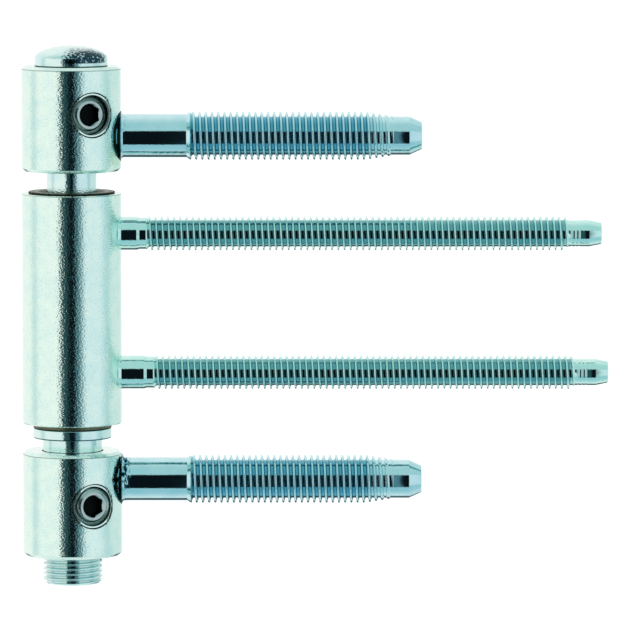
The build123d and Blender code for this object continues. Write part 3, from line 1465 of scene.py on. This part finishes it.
@dataclass
class HeightSet:
    """Screw spindle that carries the leaf, and the washer on its collar."""

    stem_radius: float = 6.0
    thread_floor: float = 5.42
    thread_pitch: float = 1.0
    thread_top: float = 9.0
    end_bevel: float = 0.7
    neck_rounding: float = 0.15
    collar_thickness: float = 2.0
    collar_radius: float = 7.9
    collar_rounding: float = 0.2
    pivot_radius: float = 5.0
    pivot_bevel: float = 0.8
    washer_bore: float = 5.15
    washer_rounding: float = 0.15
    washer_bore_rounding: float = 0.1
    # Painted shade on the washer's side and top.
    washer_side_shade: float = 0.85
    washer_top_shade: float = 1.3
    key_flats: float = 6.0
    key_depth: float = 6.0
    key_bevel: float = 0.4
    columns: int = 128

    def build_spindle(self) -> None:
        """Makes the spindle with its threaded end and key socket."""
        node = "height_spindle"
        box = Envelope.of(node)
        collar_top = Envelope.of("thrust_washer").low.z
        collar_bottom = collar_top - self.collar_thickness
        end_radius = self.stem_radius - self.end_bevel
        thread = Thread(
            self.thread_pitch,
            crest=[
                (0.0, end_radius),
                (self.end_bevel, self.stem_radius),
                (self.thread_top, self.stem_radius),
            ],
            floor=[
                (0.0, end_radius),
                (self.end_bevel, self.thread_floor),
                (self.thread_top - self.thread_pitch, self.thread_floor),
                (self.thread_top, self.stem_radius),
            ],
        )
        end = [
            Corner(0.0, 0.0),
            Corner(end_radius, 0.0),
        ]
        upper = [
            Corner(self.stem_radius, self.thread_top),
            Corner(self.stem_radius, collar_bottom, self.neck_rounding),
            # Painted shade line under the collar.
            Corner(self.collar_radius, collar_bottom, self.collar_rounding, SHADE_LINE),
            Corner(self.collar_radius, collar_top, self.collar_rounding),
            Corner(self.pivot_radius, collar_top),
            Corner(self.pivot_radius, box.high.z - self.pivot_bevel),
            Corner(self.pivot_radius - self.pivot_bevel, box.high.z),
            Corner(0.0, box.high.z),
        ]
        shape = Shape.turned(end, self.columns).joined(
            thread.strip(self.columns),
            Shape.turned(upper, self.columns),
        )
        place = Heading.UP.place()
        piece = shape.made(shown_name(node), place)
        socket = KeySocket(self.key_flats, self.key_depth, self.key_bevel)
        socket.cut_into(piece, place @ Matrix.Rotation(math.pi, 4, "X"))
        register.install(piece, node, SPINDLE_FINISH)

    def build_washer(self) -> None:
        """Makes the thrust washer."""
        node = "thrust_washer"
        box = Envelope.of(node)
        corners = [
            Corner(self.washer_bore, box.low.z, self.washer_bore_rounding),
            # Painted shade line at the washer's bottom edge, and painted shade on its side and top.
            Corner(box.high.x, box.low.z, self.washer_rounding, SHADE_LINE),
            Corner(box.high.x, box.middle.z, shade_and_scorch=self.washer_side_shade),
            Corner(box.high.x, box.high.z, self.washer_rounding, self.washer_top_shade),
            Corner(self.washer_bore, box.high.z, self.washer_bore_rounding),
        ]
        shape = Shape.turned(corners, self.columns, closed=True)
        register.install(shape.made(shown_name(node), Heading.UP.place()), node, BRONZE_FINISH)

    def build(self) -> None:
        """Makes the spindle and the washer."""
        self.build_spindle()
        self.build_washer()


@dataclass(frozen=True)
class Panel:
    """Part of the studio that the metal mirrors, with its place round the hinge in degrees."""

    colour: Colour
    azimuth: tuple[float, float]
    elevation: tuple[float, float]
    azimuth_softness: float = 4.0
    elevation_softness: float = 3.0

    def mask(self, across: Signal, away: Signal, elevation: Signal) -> Signal:
        """Works out where the panel is seen.

        Args:
            across: Part of the direction to the right of the camera's line.
            away: Part of the direction away from the camera.
            elevation: Angle above the horizon.

        Returns:
            1 on the panel and 0 beside it.
        """
        middle = math.radians(sum(self.azimuth) / 2)
        half = math.radians(self.azimuth[1] - self.azimuth[0]) / 2
        ahead = across * math.sin(middle) - away * math.cos(middle)
        beside = across * math.cos(middle) + away * math.sin(middle)
        turn = beside.math("ARCTAN2", beside, ahead)
        low, high = (math.radians(edge) for edge in self.elevation)
        inside = turn.between(-half, half, math.radians(self.azimuth_softness))
        return inside * elevation.between(low, high, math.radians(self.elevation_softness))


PANELS = (
    Panel((0.80, 0.89, 0.95), azimuth=(26.0, 90.0), elevation=(-25.0, 25.0), azimuth_softness=8.0),
    Panel((0.74, 0.85, 0.86), azimuth=(92.0, 160.0), elevation=(-60.0, 60.0), azimuth_softness=24.0),
    Panel((0.54, 0.73, 0.79), azimuth=(80.0, 100.0), elevation=(-60.0, 60.0), azimuth_softness=20.0),
    Panel((0.70, 0.81, 0.84), azimuth=(-104.0, -88.0), elevation=(-60.0, 60.0), azimuth_softness=15.0),
    Panel((0.12, 0.25, 0.30), azimuth=(3.0, 27.0), elevation=(-46.0, 28.0), azimuth_softness=12.0),
    Panel((0.03, 0.08, 0.09), azimuth=(-25.0, -4.0), elevation=(-46.0, 28.0), azimuth_softness=4.0),
    Panel((0.004, 0.007, 0.010), azimuth=(-7.5, 12.0), elevation=(-46.0, 28.0), azimuth_softness=4.0),
    Panel((0.12, 0.16, 0.17), azimuth=(158.0, 202.0), elevation=(-60.0, -11.0)),
)


@dataclass
class Studio:
    """White sweep with a dark gap round the camera, a pale floor and a long lens, in metres.

    front_fade is measured along the direction away from the camera.
    The other fades are elevations in degrees.
    """

    aim: tuple[float, float, float] = (0.0492, 0.0, 0.05415)
    distance: float = 1.19
    elevation: float = math.radians(5.4)
    lens: float = 336.0
    floor_level: float = -0.03
    floor_size: float = 60.0
    floor_colour: Colour = (0.86, 0.87, 0.87)
    floor_glow: float = 0.42
    white: Colour = (1.0, 1.0, 1.0)
    black: Colour = (0.0, 0.0, 0.0)
    above_colour: Colour = (0.55, 0.75, 0.76)
    above_fade: tuple[float, float] = (14.0, 26.0)
    below_colour: Colour = (0.44, 0.68, 0.76)
    below_fade: tuple[float, float] = (-14.0, -40.0)
    front_fade: tuple[float, float] = (-0.45, 0.6)

    def build_camera(self) -> None:
        """Sets the camera where the photograph was taken from."""
        data = bpy.data.cameras.new("camera")
        data.lens = self.lens
        camera = bpy.data.objects.new("camera", data)
        bpy.context.scene.collection.objects.link(camera)
        back = Vector((0.0, -math.cos(self.elevation), math.sin(self.elevation)))
        camera.location = Vector(self.aim) + back * self.distance
        camera.rotation_euler = (-back).to_track_quat("-Z", "Y").to_euler()
        bpy.context.scene.camera = camera

    def build_world(self) -> None:
        """Lights the hinge from a white sweep that is open and dark round the camera."""
        world = bpy.data.worlds.new("studio")
        bpy.context.scene.world = world
        world.use_nodes = True
        graph = Graph(world.node_tree)
        looking = graph.node("ShaderNodeTexCoord", output="Generated")
        direction = graph.node("ShaderNodeSeparateXYZ", {}, {0: looking})
        across, away, up = (direction.output(axis) for axis in "XYZ")
        elevation = up.math("ARCSINE", up)
        front = 1 - away.rising(*self.front_fade)
        above = elevation.rising(*map(math.radians, self.above_fade)) * front
        below = elevation.rising(*map(math.radians, self.below_fade)) * front
        colour = graph.blend(graph.blend(self.white, self.above_colour, above), self.below_colour, below)
        for panel in PANELS:
            colour = graph.blend(colour, panel.colour, panel.mask(across, away, elevation))
        path = graph.node("ShaderNodeLightPath", output="Is Camera Ray")
        seen = graph.blend(colour, self.white, path)
        background = graph.node("ShaderNodeBackground", {}, {"Color": seen, "Strength": 1.0})
        graph.node("ShaderNodeOutputWorld", {}, {"Surface": background})

    def build_floor(self) -> None:
        """Lays the pale floor, which reads white and keeps the hinge's shadow."""
        half = self.floor_size / 2
        mesh = bpy.data.meshes.new("floor")
        spots = [(-half, -half), (half, -half), (half, half), (-half, half)]
        mesh.from_pydata([(x, y, self.floor_level) for x, y in spots], [], [(0, 1, 2, 3)])
        floor = bpy.data.objects.new("floor", mesh)
        bpy.context.scene.collection.objects.link(floor)
        floor.visible_glossy = False
        material = bpy.data.materials.new("floor_pale")
        graph = Graph.of_material(material)
        path = graph.node("ShaderNodeLightPath", output="Is Camera Ray")
        glow = graph.blend(self.black, self.white, path)
        surface = graph.node(
            "ShaderNodeBsdfPrincipled",
            {},
            {
                "Base Color": (*self.floor_colour, 1.0),
                "Roughness": 1.0,
                "Specular IOR Level": 0.0,
                "Emission Color": glow,
                "Emission Strength": self.floor_glow,
            },
        )
        graph.node("ShaderNodeOutputMaterial", {}, {"Surface": surface})
        mesh.materials.append(material)

    def build(self) -> None:
        """Sets up the camera, the light and the floor."""
        self.build_camera()
        self.build_world()
        self.build_floor()
        bpy.context.scene.view_settings.view_transform = "Standard"
        log.info("studio: camera, world and floor")


def main() -> None:
    """Builds the hinge and its studio."""
    logging.basicConfig(level=logging.INFO, format="%(name)s: %(message)s")
    FrameSide().build()
    LeafSide().build()
    HeightSet().build()
    Studio().build()


if __name__ == "__main__":
    main()
